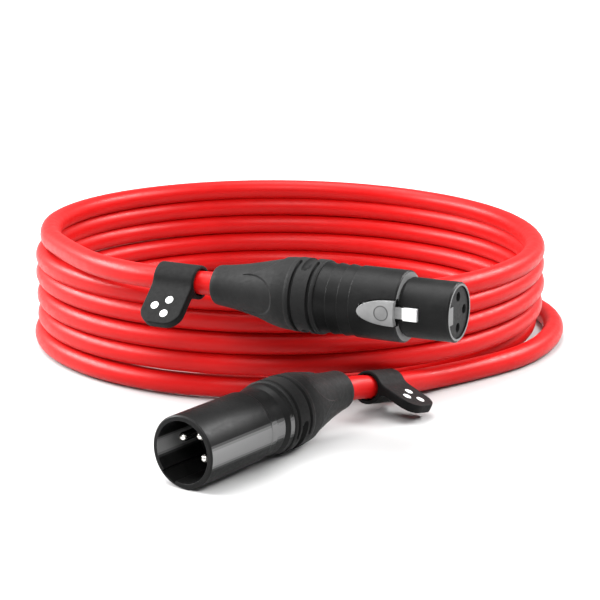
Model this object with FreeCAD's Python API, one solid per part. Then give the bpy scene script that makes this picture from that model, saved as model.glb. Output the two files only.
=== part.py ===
"""A microphone cable, coiled to stand on a table: one coil of round cable, a female and a
male three-pin connector on its two leads, and a moulded tag round each lead.

Millimetres, +Z up.  The model's origin is the middle of its bounding box at the table.
Each connector is drawn in its own frame: Z out of the mating face, stations counted
backwards from that face, X towards the keyway."""
import FreeCAD, Part
import math
import os

V = FreeCAD.Vector

# Cable and coil
CABLE_R = 3.25
COIL_R = 75.2              # middle of the winding
COIL_HALF_WIDTH = 5.5      # turns differ in radius by a few millimetres
COIL_TOP_LEFT = 39.0       # the winding climbs towards the female lead
COIL_TOP_RIGHT = 35.6
LEAD_RECESS_R = 72.9       # the lowest turn bends inwards where the male lead runs past it
LEAD_RECESS_HEIGHT = 8.0
LEAD_RECESS_DEG = (-53.0, 24.0)  # middle and half angle, from +X
TAG_RECESS_R = 75.6
TAG_RECESS_HEIGHT = 14.0
TAG_RECESS_DEG = (-69.0, 11.0)
FLOOR_Z = CABLE_R + 0.05   # middle of cable that lies on the table

# Standard three-pin connector sizes
NOSE_R = 7.9
SHELL_R = 9.5
BORE_R = 8.1
PIN_CIRCLE_R = 4.1
PIN_R = 1.2
PIN_ROOT_R = 1.45          # the pin's root, held in the insert
CONTACT_BORE_R = 1.25
CONTACT_R = 1.75
ENTRY_R = 1.3
PIN_TIP = 3.8              # pins end this far inside the mouth
CUP_FLOOR = 16.5           # face of the male insert
RIB_STATIONS = (27.3, 30.65, 34.0)
RIB_DEPTH = 0.55
SHELL_END = 37.3           # rear edge of both shells, front edge of both boots
PLUG_LENGTH = 70.6
MALE_SHORTER = 3.4         # everything behind the male pins sits this much further forward
FEMALE_LEAD_START = 66.5   # the leads take over from the cable ends inside the boots
MALE_LEAD_START = 60.0
JACKET_END = 31.2          # where the cable's jacket is cut back inside the connector
INSERT_END = 23.5
CUP_END = 27.0             # end of the solder cups
CUP_R = 1.5
CUP_BORE_R = 0.9

# Boot
BOOT_R = 10.0
BOOT_BORE_R = 8.45
BOOT_EXIT_R = 3.7
GROOVE_STATIONS = (39.1, 44.2)
GROOVE_WIDTH = 0.6
GROOVE_DEPTH = 0.75
SLOT_STATION = 41.65
SLOT_WIDTH = 1.9
SLOT_HALF_DEG = 36.0
GROOVE_GAP_HALF_DEG = 11.0

# Chuck and threaded bushing
CHUCK_R = 7.95
CHUCK_BORE_R = CABLE_R + 0.05
BUSHING_R = 8.0
BUSHING_COLLAR_R = 8.4     # inside the boot
BUSHING_END = 47.0
CHUCK_FRONT = 31.4
CHUCK_REAR = 45.5
FIT_GAP = 0.1              # between faces that turn or slide on each other

# Latch of the female connector
TAB_TIP = 24.6
TAB_FRONT = 14.4
TAB_WAIST = 15.4           # from here back the tab is half an ellipse
TAB_HALF_WIDTH = 3.35
DIMPLE_STATION = 17.7
DIMPLE_R = 1.9
TAB_TOP_R = 10.1
LEVER_HALF_WIDTH = 1.5
HOOK_FRONT = 8.4
HOOK_HALF_WIDTH = 1.65
HOOK_BACK = 12.2
HOOK_TOP = 8.6
LEVER_LOW = 7.15
PIVOT_STATION = 23.2
PIVOT_HEIGHT = 7.85
PIVOT_R = 0.6
LATCH_GAP = 0.25

# Tags
TAG_WIDTH = 12.7
TAG_BORE_R = 3.62
TAG_RING_R = 4.7
TAG_REACH = 16.0
TAG_CORNER_R = 4.5
TAG_PLANE_LOW = 0.8
TAG_PLANE_HIGH = 3.3
TAG_FILLET_ABOVE = 5.0
TAG_FILLET_BELOW = 2.0

# Places, from the middle of the coil on the table
FEMALE_FACE = V(43.5, -124.2, 38.2)
FEMALE_HEADING = 63.6      # degrees from -Y towards +X
FEMALE_PITCH = 0.0
FEMALE_KEY_ROLL = -90.0    # the key and the latch face sideways, out from the coil
FEMALE_BOOT_ROLL = 90.0    # one slot of the boot faces up
MALE_FACE = V(-26.7, -152.6, 9.63)
MALE_HEADING = -36.7
MALE_PITCH = 0.6
MALE_KEY_ROLL = -148.0
MALE_BOOT_ROLL = -54.0

# Leads: hand-placed points, each one a bend of the cable
FEMALE_LEAD = (
    V(-16.06, -94.63, 38.2),
    V(-29.9, -87.7, 38.2),
    V(-43.6, -79.4, 38.1),
    V(-54.6, -66.6, 37.6),
    V(-62.4, -50.2, 36.9),
    V(-68.8, -33.5, 36.1),
    V(-74.2, -17.0, 35.3),
)
MALE_LEAD = (
    V(7.12, -107.22, 10.22),
    V(14.83, -96.88, 10.36),
    V(25.0, -84.5, 6.9),
    V(37.6, -66.6, 3.8),
    V(54.0, -53.2, FLOOR_Z),
    V(69.0, -39.8, FLOOR_Z),
    V(78.4, -24.0, FLOOR_Z),
    V(84.0, -5.5, FLOOR_Z),
    V(84.2, 12.5, FLOOR_Z),
    V(79.2, 30.5, FLOOR_Z),
    V(69.0, 46.5, FLOOR_Z),
    V(55.5, 58.5, FLOOR_Z),
)
FEMALE_TAG_BEND = 1        # the bend of each lead that carries its tag
FEMALE_TAG_DROP = -45.0    # tongue below the horizontal
MALE_TAG_BEND = 2
MALE_TAG_DROP = -21.0


# ---------------------------------------------------------------- basic solids

def turned(outline):
    """Solid of revolution about Z from corners given as (radius, station)."""
    points = [V(r, 0, -s) for r, s in outline]
    face = Part.Face(Part.makePolygon(points + points[:1]))
    return face.revolve(V(0, 0, 0), V(0, 0, 1), 360)


def rod(radius, start, end, x=0.0, y=0.0):
    """Round bar along Z between two stations."""
    return Part.makeCylinder(radius, end - start, V(x, y, -end))


def pipe(outer, inner, start, end, x=0.0, y=0.0):
    """Round tube along Z between two stations."""
    return rod(outer, start, end, x, y).cut(rod(inner, start - 1, end + 1, x, y))


def block(x0, x1, half_y, start, end):
    """Box centred on the X axis, between two heights and two stations."""
    return Part.makeBox(x1 - x0, 2 * half_y, end - start, V(x0, -half_y, -end))


def sector(inner, outer, start, end, middle_deg, half_deg):
    """Part of a ring that spans half_deg each side of middle_deg."""
    points = [V(inner, 0, -start), V(outer, 0, -start), V(outer, 0, -end), V(inner, 0, -end)]
    face = Part.Face(Part.makePolygon(points + points[:1]))
    solid = face.revolve(V(0, 0, 0), V(0, 0, 1), 2 * half_deg)
    solid.rotate(V(0, 0, 0), V(0, 0, 1), middle_deg - half_deg)
    return solid


def bent_tube(points, radius):
    """Round tube along straight runs joined by tangent arcs, and its arc radii."""
    edges = []
    radii = []
    start = points[0]
    for before, corner, after in zip(points, points[1:], points[2:]):
        back = before - corner
        ahead = after - corner
        half_turn = (math.pi - back.getAngle(ahead)) / 2
        reach = 0.45 * min(back.Length, ahead.Length)
        arc_radius = reach / math.tan(half_turn)
        radii.append(arc_radius)
        back.normalize()
        ahead.normalize()
        first = corner + back * reach
        last = corner + ahead * reach
        inward = (back + ahead).normalize()
        centre_distance = arc_radius / math.cos(half_turn)
        middle = corner + inward * (centre_distance - arc_radius)
        edges.append(Part.LineSegment(start, first).toShape())
        edges.append(Part.Arc(first, middle, last).toShape())
        start = last
    edges.append(Part.LineSegment(start, points[-1]).toShape())
    path = Part.Wire(edges)
    direction = points[1] - points[0]
    section = Part.Wire(Part.makeCircle(radius, points[0], direction))
    tube = path.makePipeShell([section], True, False)
    return tube, radii, path.Length


# ---------------------------------------------------------------- placing

def plug_placement(face, heading_deg, pitch_deg, key_roll_deg):
    """Placement of a connector: Z turned to its heading, X rolled about Z from straight up."""
    heading = math.radians(heading_deg)
    pitch = math.radians(pitch_deg)
    z = V(math.sin(heading) * math.cos(pitch), -math.cos(heading) * math.cos(pitch), -math.sin(pitch))
    side = V(0, 0, 1).cross(z).normalize()
    up = z.cross(side)
    roll = math.radians(key_roll_deg)
    x = up * math.cos(roll) + side * math.sin(roll)
    return axes_placement(face, x, z)


def axes_placement(origin, x, z):
    """Placement whose local X and Z point along the two vectors."""
    y = z.cross(x)
    matrix = FreeCAD.Matrix(
        x.x, y.x, z.x, origin.x,
        x.y, y.y, z.y, origin.y,
        x.z, y.z, z.z, origin.z,
        0, 0, 0, 1)
    return FreeCAD.Placement(matrix)


def placed(shape, placement):
    """Copy of the shape moved to its place in the model."""
    copy = shape.copy()
    copy.transformShape(placement.toMatrix())
    return copy


def contact_places():
    """X and Y of contacts 1, 2 and 3; the third is opposite the key."""
    return ((0.0, PIN_CIRCLE_R), (0.0, -PIN_CIRCLE_R), (-PIN_CIRCLE_R, 0.0))


# ---------------------------------------------------------------- pieces of both connectors

def boot():
    """Rubber boot: grooved band at the front, taper to a rounded rear rim."""
    front = SHELL_END + FIT_GAP
    flare = Part.BSplineCurve()
    flare.interpolate([V(BOOT_R, 0, -46.0), V(9.55, 0, -50.0), V(7.85, 0, -57.5),
                       V(6.35, 0, -64.0), V(5.6, 0, -69.2)])
    rim = Part.Arc(V(5.6, 0, -69.2), V(5.25, 0, -70.2), V(4.4, 0, -PLUG_LENGTH))
    corners = [V(4.4, 0, -PLUG_LENGTH), V(BOOT_EXIT_R, 0, -PLUG_LENGTH), V(BOOT_EXIT_R, 0, -54.0),
               V(BOOT_BORE_R, 0, -BUSHING_END - 0.3), V(BOOT_BORE_R, 0, -front),
               V(9.5, 0, -front), V(BOOT_R, 0, -front - 0.5), V(BOOT_R, 0, -46.0)]
    outline = Part.Wire([flare.toShape(), rim.toShape()] + Part.makePolygon(corners).Edges)
    solid = Part.Face(outline).revolve(V(0, 0, 0), V(0, 0, 1), 360)
    for middle in (0, 180):
        slot = sector(BOOT_R - 1.3, BOOT_R + 1, SLOT_STATION - SLOT_WIDTH / 2,
                      SLOT_STATION + SLOT_WIDTH / 2, middle, SLOT_HALF_DEG)
        solid = solid.cut(slot)
        for station in GROOVE_STATIONS:
            groove = sector(BOOT_R - GROOVE_DEPTH, BOOT_R + 1, station - GROOVE_WIDTH / 2,
                            station + GROOVE_WIDTH / 2, middle + 90, 90 - GROOVE_GAP_HALF_DEG)
            solid = solid.cut(groove)
    return solid


def chuck():
    """Slit collet that grips the cable, with a ring at its front end."""
    shoulder = CHUCK_FRONT + 1.6
    solid = turned([(CHUCK_BORE_R, CHUCK_FRONT), (CHUCK_R, CHUCK_FRONT), (CHUCK_R, shoulder), (6.4, shoulder),
                    (5.0, CHUCK_REAR), (CHUCK_BORE_R, CHUCK_REAR)])
    for angle in (0, 120, 240):
        slit = Part.makeBox(10, 1.2, 10.5, V(0, -0.6, -CHUCK_REAR - 0.5))
        slit.rotate(V(0, 0, 0), V(0, 0, 1), angle)
        solid = solid.cut(slit)
    return solid


def bushing():
    """Threaded bushing that the boot is moulded on; its cone closes the chuck."""
    front = CHUCK_FRONT + 1.9
    return turned([(6.8, front), (BUSHING_R, front), (BUSHING_R, SHELL_END + FIT_GAP),
                   (BUSHING_COLLAR_R, SHELL_END + FIT_GAP), (BUSHING_COLLAR_R, BUSHING_END),
                   (5.3, BUSHING_END), (5.3, CHUCK_REAR + 0.5), (6.8, front + 0.5)])


def conductors():
    """Three soldered cores from the cut jacket out to the contacts."""
    cores = []
    for x, y in contact_places():
        far = V(x, y, -CUP_END - 0.4)
        near = V(x * 0.34, y * 0.34, -JACKET_END + 0.5)
        slope = near - far
        core = rod(0.7, INSERT_END + 0.6, CUP_END + 0.4, x, y)
        core = core.fuse(Part.makeSphere(0.7, far))
        core = core.fuse(Part.makeCylinder(0.7, slope.Length, far, slope))
        cores.append(core.removeSplitter())
    return Part.makeCompound(cores)


def cable_end(lead_start):
    """Jacketed cable inside the boot, from its cut end to where the lead takes over."""
    return rod(CABLE_R, JACKET_END, lead_start)


def solder_cup(x, y):
    """Open cup at the back of a contact or pin."""
    return pipe(CUP_R, CUP_BORE_R, INSERT_END, CUP_END, x, y).fuse(rod(CUP_R, INSERT_END - 1, INSERT_END, x, y))


# ---------------------------------------------------------------- female connector

def tab_outline(grow):
    """Bullet-shaped plan of the latch's push tab, as a face at the axis, grown all round."""
    half = TAB_HALF_WIDTH + grow
    front = -(TAB_FRONT - grow)
    waist = -TAB_WAIST
    tip = -(TAB_TIP + grow)
    corners = [V(0, -half, waist), V(0, -half, front), V(0, half, front), V(0, half, waist)]
    bullet = Part.Ellipse(V(0, 0, tip), V(0, half, waist), V(0, 0, waist))
    start = bullet.parameter(V(0, half, waist))
    arc = bullet.toShape(start, start + math.pi)
    if (arc.valueAt(start + math.pi / 2) - V(0, 0, tip)).Length > 0.01:
        arc = bullet.toShape(start - math.pi, start)
    wire = Part.Wire(Part.makePolygon(corners).Edges + [arc])
    return Part.Face(wire)


def latch():
    """Push latch in one piece: tab, lever and hook, bored for its pivot pin."""
    tab = tab_outline(0).extrude(V(TAB_TOP_R + 1, 0, 0))
    tab = tab.common(pipe(TAB_TOP_R, 8.35, 0, PLUG_LENGTH))
    lever = block(LEVER_LOW, 8.5, LEVER_HALF_WIDTH, TAB_FRONT, 24.0)
    neck = block(LEVER_LOW, 8.0, LEVER_HALF_WIDTH, HOOK_BACK, TAB_FRONT)
    hook = block(LEVER_LOW, HOOK_TOP, HOOK_HALF_WIDTH, HOOK_FRONT, HOOK_BACK)
    solid = tab.fuse(lever).fuse(neck).fuse(hook).removeSplitter()
    dimple = Part.makeTorus(DIMPLE_R, 0.12, V(TAB_TOP_R, 0, -DIMPLE_STATION), V(1, 0, 0))
    return solid.cut(pivot(PIVOT_R + 0.05)).cut(dimple)


def pivot(radius, half_length=4.05):
    """Bar across the connector on the latch's pivot line."""
    return Part.makeCylinder(radius, 2 * half_length, V(PIVOT_HEIGHT, -half_length, -PIVOT_STATION), V(0, 1, 0))


def grip_ribs():
    """Corners of the three saw-tooth grip ribs, from front to back."""
    corners = []
    for start in RIB_STATIONS:
        corners += [(SHELL_R, start), (SHELL_R - RIB_DEPTH, start + 0.25)]
    return corners


def female_shell():
    """Nose, body and ribs in one metal piece, with the latch's window and the key block."""
    outline = [(6.9, 0), (7.5, 0), (NOSE_R, 0.4), (NOSE_R, 13.3), (7.4, 13.5), (7.4, 14.2),
               (9.1, 14.2), (SHELL_R, 14.6)]
    outline += grip_ribs()
    outline += [(SHELL_R, SHELL_END), (BORE_R, SHELL_END), (BORE_R, 15.7), (6.9, 15.7)]
    solid = turned(outline)
    solid = solid.cut(tab_outline(LATCH_GAP).extrude(V(TAB_TOP_R + 1, 0, 0)).common(
        block(6.8, 12, 5, TAB_FRONT - LATCH_GAP, TAB_TIP + LATCH_GAP)))
    solid = solid.cut(block(5.6, 12, HOOK_HALF_WIDTH + LATCH_GAP, HOOK_FRONT - 0.3, 24.3))
    key = block(3.9, 7.1, 2.35, 0.15, 7.0)
    solid = solid.fuse(key.common(rod(7.1, 0, 10))).removeSplitter()
    return solid.cut(pivot(PIVOT_R))


def female_insert():
    """Insulating insert: three contact cavities, keyway and room for the latch."""
    solid = rod(6.85, 0.4, 15.75).fuse(rod(8.05, 15.75, INSERT_END)).removeSplitter()
    for x, y in contact_places():
        solid = solid.cut(rod(ENTRY_R, 0, 2, x, y))
        solid = solid.cut(rod(CONTACT_R + 0.02, 1.6, 30, x, y))
    solid = solid.cut(block(3.85, 10, 2.4, 0, 7.05))
    solid = solid.cut(block(5.5, 10, HOOK_HALF_WIDTH + 0.4, 7.5, 30))
    return solid.cut(block(7.0, 10, 4.3, 15.7, 30))


def female_contact(x, y):
    """Sleeve contact with a solder cup."""
    sleeve = pipe(CONTACT_R, CONTACT_BORE_R, 1.7, 16.0, x, y)
    return sleeve.fuse(rod(CONTACT_R, 16.0, INSERT_END, x, y)).fuse(solder_cup(x, y)).removeSplitter()


def latch_spring():
    """Leaf spring on the floor of the latch's channel."""
    return block(5.52, 5.85, 1.4, 10.0, 21.0)


# ---------------------------------------------------------------- male connector

def male_shell():
    """Round cup with a waist and a flared rear edge, grooved inside for the mating latch."""
    rear = SHELL_END - MALE_SHORTER
    solid = turned([(BORE_R, 0), (9.1, 0), (SHELL_R, 0.4), (SHELL_R, 24.4), (9.15, 25.1), (9.0, 27.5),
                    (9.05, 30.6), (9.6, 32.3), (9.65, rear), (BORE_R, rear)])
    return solid.cut(block(7.5, 8.65, 2.3, -1, CUP_FLOOR))


def male_insert():
    """Insulating disc that holds the pins, at the bottom of the cup."""
    solid = rod(8.05, CUP_FLOOR, INSERT_END - MALE_SHORTER)
    for x, y in contact_places():
        solid = solid.cut(rod(CUP_R + 0.02, 10, 30, x, y))
    return solid


def male_pin(x, y):
    """Round pin with a domed tip and a solder cup."""
    tip = Part.makeSphere(PIN_R, V(x, y, -PIN_TIP - PIN_R))
    shank = rod(PIN_R, PIN_TIP + PIN_R, CUP_FLOOR + 0.2, x, y)
    root = rod(PIN_ROOT_R, CUP_FLOOR + 0.2, INSERT_END - MALE_SHORTER - 1, x, y)
    cup = solder_cup(x, y)
    cup.translate(V(0, 0, MALE_SHORTER))
    return tip.fuse(shank).fuse(root).fuse(cup).removeSplitter()


# ---------------------------------------------------------------- tags and coil

def tag():
    """Moulded loop round the cable with a flat tongue; Z along the cable, X along the tongue.

    The tongue leaves the loop in two fillets, a wide one above and a small one below."""
    half = TAG_WIDTH / 2
    above = TAG_RING_R + TAG_FILLET_ABOVE
    below = TAG_RING_R + TAG_FILLET_BELOW
    above_y = TAG_PLANE_HIGH + TAG_FILLET_ABOVE
    below_y = TAG_PLANE_LOW - TAG_FILLET_BELOW
    above_x = math.sqrt(above ** 2 - above_y ** 2)
    below_x = math.sqrt(below ** 2 - below_y ** 2)
    from_loop = V(above_x, above_y, -half) * (TAG_RING_R / above)
    to_loop = V(below_x, below_y, -half) * (TAG_RING_R / below)
    from_loop.z = -half
    to_loop.z = -half
    above_middle = V(above_x, above_y, -half) + fillet_ray(from_loop, above_x, TAG_PLANE_HIGH, above_y, TAG_FILLET_ABOVE)
    below_middle = V(below_x, below_y, -half) + fillet_ray(to_loop, below_x, TAG_PLANE_LOW, below_y, TAG_FILLET_BELOW)
    edges = [
        Part.Arc(to_loop, V(-TAG_RING_R, 0, -half), from_loop),
        Part.Arc(from_loop, above_middle, V(above_x, TAG_PLANE_HIGH, -half)),
        Part.LineSegment(V(above_x, TAG_PLANE_HIGH, -half), V(TAG_REACH, TAG_PLANE_HIGH, -half)),
        Part.LineSegment(V(TAG_REACH, TAG_PLANE_HIGH, -half), V(TAG_REACH, TAG_PLANE_LOW, -half)),
        Part.LineSegment(V(TAG_REACH, TAG_PLANE_LOW, -half), V(below_x, TAG_PLANE_LOW, -half)),
        Part.Arc(V(below_x, TAG_PLANE_LOW, -half), below_middle, to_loop),
    ]
    face = Part.Face(Part.Wire([edge.toShape() for edge in edges]))
    strap = face.extrude(V(0, 0, TAG_WIDTH))
    return strap.common(tag_plan()).cut(rod(TAG_BORE_R, -half - 1, half + 1))


def fillet_ray(loop_point, line_x, line_y, centre_y, radius):
    """From a fillet's centre to the middle of its arc, between the loop and the tongue's face."""
    centre = V(line_x, centre_y, loop_point.z)
    ray = (loop_point - centre).normalize() + (V(line_x, line_y, loop_point.z) - centre).normalize()
    return ray.normalize() * radius


def tag_plan():
    """Block with the tag's outline in plan, its two far corners rounded."""
    half = TAG_WIDTH / 2
    back = -TAG_RING_R - 1
    end = TAG_REACH - TAG_CORNER_R
    side = half - TAG_CORNER_R
    diagonal = TAG_CORNER_R * math.sqrt(0.5)
    corner_a = Part.Arc(V(end, 0, half), V(end + diagonal, 0, side + diagonal), V(TAG_REACH, 0, side))
    corner_b = Part.Arc(V(TAG_REACH, 0, -side), V(end + diagonal, 0, -side - diagonal), V(end, 0, -half))
    edges = [Part.LineSegment(V(back, 0, half), V(end, 0, half)).toShape(), corner_a.toShape(),
             Part.LineSegment(V(TAG_REACH, 0, side), V(TAG_REACH, 0, -side)).toShape(), corner_b.toShape(),
             Part.LineSegment(V(end, 0, -half), V(back, 0, -half)).toShape(),
             Part.LineSegment(V(back, 0, -half), V(back, 0, half)).toShape()]
    face = Part.Face(Part.Wire(edges))
    face.translate(V(0, -TAG_RING_R - 1, 0))
    return face.extrude(V(0, 2 * TAG_RING_R + 2, 0))


def tag_placement(route, bend, drop_deg):
    """Tag at one bend of a lead, its tongue turned from the horizontal that faces outwards."""
    before, corner, after = route[bend - 1:bend + 2]
    back = (before - corner)
    ahead = (after - corner)
    reach = 0.45 * min(back.Length, ahead.Length)
    half_turn = (math.pi - back.getAngle(ahead)) / 2
    along = (after - before).normalize()
    inward = (back.normalize() + ahead.normalize()).normalize()
    point = corner + inward * (reach * math.tan(half_turn / 2))
    out = V(along.y, -along.x, 0).normalize()
    if out.dot(corner) < 0:
        out = out * -1
    up = along.cross(out)
    if up.z < 0:
        up = up * -1
    drop = math.radians(drop_deg)
    tongue = out * math.cos(drop) + up * math.sin(drop)
    normal = up * math.cos(drop) - out * math.sin(drop)
    return axes_placement(point, tongue, tongue.cross(normal))


def coil():
    """Outer shape of the wound cable: a ring whose top slopes down from left to right."""
    height = COIL_TOP_LEFT + 5
    outer = Part.makeCylinder(COIL_R + COIL_HALF_WIDTH, height)
    ring = outer.cut(Part.makeCylinder(COIL_R - COIL_HALF_WIDTH, height))
    span = 200.0
    slope = (COIL_TOP_RIGHT - COIL_TOP_LEFT) / (2 * COIL_R)
    middle = (COIL_TOP_RIGHT + COIL_TOP_LEFT) / 2
    low = middle + slope * span
    high = middle - slope * span
    wedge = [V(-span, -span, high), V(span, -span, low), V(span, -span, 90), V(-span, -span, 90)]
    above = Part.Face(Part.makePolygon(wedge + wedge[:1])).extrude(V(0, 2 * span, 0))
    lead_recess = sector(LEAD_RECESS_R, 90, -LEAD_RECESS_HEIGHT, 1, *LEAD_RECESS_DEG)
    tag_recess = sector(TAG_RECESS_R, 90, -TAG_RECESS_HEIGHT, 1, *TAG_RECESS_DEG)
    return ring.cut(above).cut(lead_recess).cut(tag_recess)


# ---------------------------------------------------------------- assembly

def assemble():
    """Every sub-part by node name, in its place round the middle of the coil."""
    nodes = {"cable_coil": coil()}
    for side, route in (("female", FEMALE_LEAD), ("male", MALE_LEAD)):
        tube, radii, length = bent_tube(route, CABLE_R)
        nodes[side + "_lead"] = tube
        section = math.pi * CABLE_R ** 2
        print(side, "lead radii", [round(r, 1) for r in radii])
        print(side, "lead volume", round(tube.Volume), "section times length", round(section * length))

    female = plug_placement(FEMALE_FACE, FEMALE_HEADING, FEMALE_PITCH, FEMALE_KEY_ROLL)
    male = plug_placement(MALE_FACE, MALE_HEADING, MALE_PITCH, MALE_KEY_ROLL)
    female_boot = plug_placement(FEMALE_FACE, FEMALE_HEADING, FEMALE_PITCH, FEMALE_KEY_ROLL + FEMALE_BOOT_ROLL)
    male_boot = plug_placement(MALE_FACE, MALE_HEADING, MALE_PITCH, MALE_BOOT_ROLL)
    forward = FreeCAD.Placement(V(0, 0, MALE_SHORTER), FreeCAD.Rotation())
    male_rear = male.multiply(forward)
    for side, place, boot_place, lead_start in (
            ("female", female, female_boot, FEMALE_LEAD_START),
            ("male", male_rear, male_boot.multiply(forward), MALE_LEAD_START)):
        nodes[side + "_boot"] = placed(boot(), boot_place)
        nodes[side + "_chuck"] = placed(chuck(), place)
        nodes[side + "_bushing"] = placed(bushing(), place)
        nodes[side + "_conductors"] = placed(conductors(), place)
        nodes[side + "_cable_end"] = placed(cable_end(lead_start), place)

    nodes["female_shell"] = placed(female_shell(), female)
    nodes["female_insert"] = placed(female_insert(), female)
    nodes["female_latch"] = placed(latch(), female)
    nodes["female_latch_pin"] = placed(pivot(PIVOT_R, 4.0), female)
    nodes["female_latch_spring"] = placed(latch_spring(), female)
    nodes["male_shell"] = placed(male_shell(), male)
    nodes["male_insert"] = placed(male_insert(), male)
    for number, (x, y) in enumerate(contact_places(), start=1):
        nodes["female_contact_%d" % number] = placed(female_contact(x, y), female)
        nodes["male_pin_%d" % number] = placed(male_pin(x, y), male)

    nodes["female_tag"] = placed(tag(), tag_placement(FEMALE_LEAD, FEMALE_TAG_BEND, FEMALE_TAG_DROP))
    nodes["male_tag"] = placed(tag(), tag_placement(MALE_LEAD, MALE_TAG_BEND, MALE_TAG_DROP))
    return nodes


def main():
    """Centre the whole on its bounding box, write one STEP per node and report each."""
    os.makedirs("parts", exist_ok=True)
    nodes = assemble()
    box = FreeCAD.BoundBox()
    for shape in nodes.values():
        box.add(shape.optimalBoundingBox())
    shift = V(-box.Center.x, -box.Center.y, 0)
    print("middle of the coil in the model:", [round(c, 3) for c in shift], "lowest point", round(box.ZMin, 3))
    for name, shape in sorted(nodes.items()):
        shape.translate(shift)
        print(name, "valid", shape.isValid(), "solids", len(shape.Solids), "volume", round(shape.Volume, 1))
        shape.exportStep("parts/" + name + ".step")


main()
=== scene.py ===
"""Visual model of a coiled microphone cable with its two connectors and their tags."""
import logging
import math
from dataclasses import dataclass, field
from enum import Enum
from typing import Sequence

import bmesh
import bpy
from mathutils import Matrix, Vector


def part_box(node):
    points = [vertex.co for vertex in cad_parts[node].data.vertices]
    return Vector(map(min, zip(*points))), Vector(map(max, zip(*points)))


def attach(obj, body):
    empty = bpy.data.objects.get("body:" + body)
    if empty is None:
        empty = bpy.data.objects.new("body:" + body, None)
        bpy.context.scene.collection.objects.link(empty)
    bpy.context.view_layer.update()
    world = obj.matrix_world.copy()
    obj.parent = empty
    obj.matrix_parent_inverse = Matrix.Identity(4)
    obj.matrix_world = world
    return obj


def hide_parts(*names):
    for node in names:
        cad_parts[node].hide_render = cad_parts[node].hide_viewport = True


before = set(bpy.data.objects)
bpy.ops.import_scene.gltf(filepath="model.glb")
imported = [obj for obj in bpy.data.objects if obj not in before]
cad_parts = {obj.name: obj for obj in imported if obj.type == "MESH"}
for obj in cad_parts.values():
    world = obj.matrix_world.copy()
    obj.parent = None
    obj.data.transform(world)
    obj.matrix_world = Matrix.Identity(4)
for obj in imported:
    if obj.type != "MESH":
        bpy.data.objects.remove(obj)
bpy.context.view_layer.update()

LOG = logging.getLogger("cable_coil")
MM = 0.001
STATIC_BODY = "cable"
CUT_WALL = 0.14     # run of the wall of a slot or groove in a boot, in millimetres
Point = tuple[float, float, float]
Socket = bpy.types.NodeSocket


class Side(Enum):
    """The two ends of the cable."""

    FEMALE = "female"
    MALE = "male"


def coil_centre() -> Vector:
    """Return the middle of the coil on the table, in metres."""
    low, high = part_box("cable_coil")
    return Vector(((low.x + high.x) / 2, (low.y + high.y) / 2, low.z))


def at_table(point: Sequence[float]) -> Vector:
    """Turn a point given in millimetres from the middle of the coil into the model's metres.

    Args:
        point: X, Y and Z in millimetres.

    Returns:
        The same point in metres in the model's frame.
    """
    return Vector(point) * MM + coil_centre()


def grey(level: float) -> Point:
    """Return an even grey."""
    return (level, level, level)


def between(knots: Sequence[Sequence[float]], at: float) -> tuple[float, ...]:
    """Return the values at a place in a table of knots, each a place and its values."""
    for (start, *first), (end, *last) in zip(knots, knots[1:]):
        if at <= end:
            part = max(0.0, (at - start) / (end - start))
            return tuple(a + (b - a) * part for a, b in zip(first, last))
    return tuple(knots[-1][1:])


# ------------------------------------------------------------------ materials


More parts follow.
